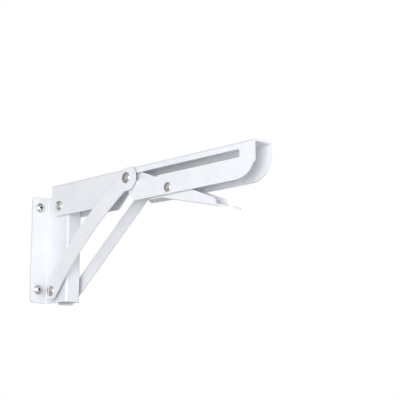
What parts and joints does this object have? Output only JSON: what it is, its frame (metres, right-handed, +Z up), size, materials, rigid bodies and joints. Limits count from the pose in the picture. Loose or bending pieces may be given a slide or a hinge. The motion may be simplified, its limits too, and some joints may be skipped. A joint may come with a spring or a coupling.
{
  "type": "folding shelf bracket",
  "caption": "Folding wall bracket whose arm holds a shelf level on a sliding brace, and folds flat against the wall when the lever under it is pressed.",
  "frame": {"origin": "on the wall plane, midway between the two upper wall screws", "axes": "+X out from the wall along the open arm, +Y along the wall to the far side, +Z up"},
  "size_m": [0.3165, 0.058, 0.1251],
  "materials": {
    "powder_coat": "white powder coat, semi-gloss",
    "rivet_nickel": "nickel plate, polished",
    "screw_zinc": "zinc plate, satin",
    "plain_steel": "zinc plate, satin",
    "spring_steel": "drawn spring wire",
    "washer_nylon": "natural nylon"
  },
  "bodies": {
    "plate": {"wall_plate": "powder_coat", "wall_screw_1": "screw_zinc", "wall_screw_2": "screw_zinc", "wall_screw_3": "screw_zinc", "wall_screw_4": "screw_zinc", "arm_pivot_sleeve": "plain_steel", "arm_pivot_washer_near": "washer_nylon", "arm_pivot_washer_far": "washer_nylon", "brace_foot_sleeve": "plain_steel"},
    "arm": {"arm_channel": "powder_coat", "arm_pivot_pin": "rivet_nickel", "lever_pivot_pin": "rivet_nickel", "lever_washer_near": "washer_nylon", "lever_washer_far": "washer_nylon", "lever_spring": "spring_steel"},
    "brace": {"brace_link_near": "powder_coat", "brace_link_far": "powder_coat", "brace_foot_pin": "rivet_nickel", "brace_foot_spacer_near": "plain_steel", "brace_foot_spacer_far": "plain_steel", "brace_head_rivet_near": "rivet_nickel", "brace_head_rivet_far": "rivet_nickel"},
    "slider": {"slot_slide_near": "plain_steel", "slot_slide_far": "plain_steel"},
    "lever": {"release_lever": "powder_coat", "lever_sleeve": "plain_steel"}
  },
  "joints": [
    {"name": "arm_fold", "type": "hinge", "parent": "plate", "child": "arm", "pos_m": [0.0243, 0, 0.0001], "axis": [0, 1, 0], "range_deg": [0, 90]},
    {"name": "brace_swing", "type": "hinge", "parent": "plate", "child": "brace", "pos_m": [0.0188, 0, -0.0897], "axis": [0, 1, 0], "range_deg": [0, 123.76]},
    {"name": "slot_travel", "type": "slide", "parent": "arm", "child": "slider", "axis": [1, 0, 0], "range_m": [0, 0.13204]},
    {"name": "lever_press", "type": "hinge", "parent": "arm", "child": "lever", "pos_m": [0.1959, 0, -0.004], "axis": [0, -1, 0], "range_deg": [0, 12.5], "stiffness_Nm_per_rad": 0.8, "springref_deg": -20.05, "deforming": ["lever_spring"]}
  ],
  "couplings": [
    {"joint": "brace_swing", "follows": "arm_fold", "ratio": 1.375},
    {"joint": "slot_travel", "follows": "arm_fold", "m_per_rad": 0.084054}
  ]
}
